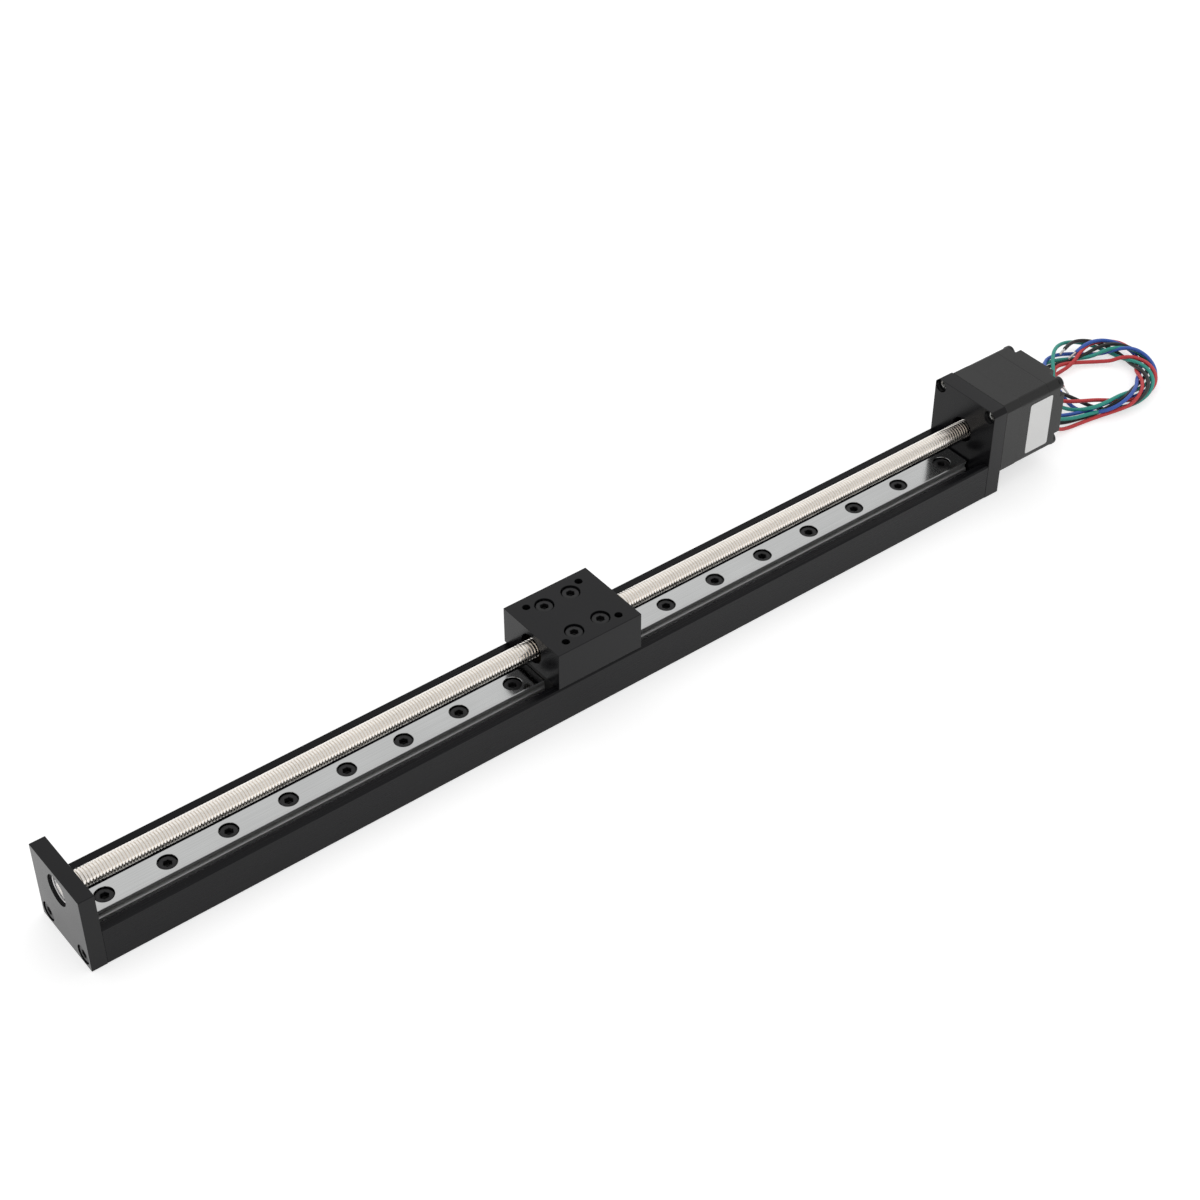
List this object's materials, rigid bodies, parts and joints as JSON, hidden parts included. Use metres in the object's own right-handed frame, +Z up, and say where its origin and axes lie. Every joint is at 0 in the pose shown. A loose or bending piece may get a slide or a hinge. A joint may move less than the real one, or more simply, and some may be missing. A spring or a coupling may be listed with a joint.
{
  "type": "lead screw linear stage",
  "caption": "Slim motor-driven linear stage: a carriage on a profiled rail in a black channel, moved by a lead screw that is the motor's own shaft, with loose coloured leads.",
  "frame": {"origin": "middle of the stage's length and width, on the plane of its underside, leads left out", "axes": "+X along the screw from the end plate to the motor, +Z up from the underside, +Y across"},
  "size_m": [0.4462, 0.0454, 0.0347],
  "materials": {
    "black_anodised": "black anodised, satin",
    "ground_steel": "ground",
    "screw_steel": "rolled thread",
    "bearing_steel": "polished",
    "black_screws": "black oxide",
    "bright_screws": "zinc plated",
    "brass": "turned",
    "motor_black": "black satin paint",
    "copper": "enamelled wire",
    "rotor_iron": "machined",
    "black_plastic": "moulded",
    "black_rubber": "moulded",
    "lead_black": "insulation",
    "lead_green": "insulation",
    "lead_red": "insulation",
    "lead_blue": "insulation",
    "lead_bundle": "coiled insulated leads"
  },
  "bodies": {
    "frame": {"base_channel": "black_anodised", "linear_rail": "ground_steel", "rail_screws": "black_screws", "end_plate": "black_anodised", "end_plate_screws": "black_screws", "end_bearing_outer": "bearing_steel", "end_bearing_shields": "bearing_steel", "motor_mount": "black_anodised", "mount_screws": "black_screws", "motor_screws": "bright_screws", "motor_front_cap": "motor_black", "motor_stator": "motor_black", "motor_windings": "copper", "motor_rear_cap": "motor_black", "motor_case_screws": "black_screws", "front_bearing_outer": "bearing_steel", "rear_bearing_outer": "bearing_steel", "preload_washer": "bearing_steel", "lead_grommet": "black_rubber", "lead_black": "lead_black", "lead_green": "lead_green", "lead_red": "lead_red", "lead_blue": "lead_blue", "lead_coil": "lead_bundle"},
    "carriage": {"carriage_block": "black_anodised", "carriage_screws": "black_screws", "lead_nut": "brass", "nut_grub_screw": "black_screws", "slider_body": "ground_steel", "slider_end_caps": "black_plastic", "slider_wipers": "black_rubber", "slider_balls": "bearing_steel"},
    "screw": {"lead_screw": "screw_steel", "end_bearing_inner": "bearing_steel", "front_bearing_inner": "bearing_steel", "rear_bearing_inner": "bearing_steel", "rotor_cups": "rotor_iron", "rotor_magnet": "rotor_iron"}
  },
  "joints": [
    {"name": "screw_spin", "type": "hinge", "parent": "frame", "child": "screw", "pos_m": [0, 0, 0.02075], "axis": [1, 0, 0], "range_deg": [-52956, 55116]},
    {"name": "carriage_slide", "type": "slide", "parent": "frame", "child": "carriage", "axis": [1, 0, 0], "range_m": [-0.153, 0.147]}
  ],
  "couplings": [
    {"joint": "screw_spin", "follows": "carriage_slide", "rad_per_m": -6283.2}
  ]
}
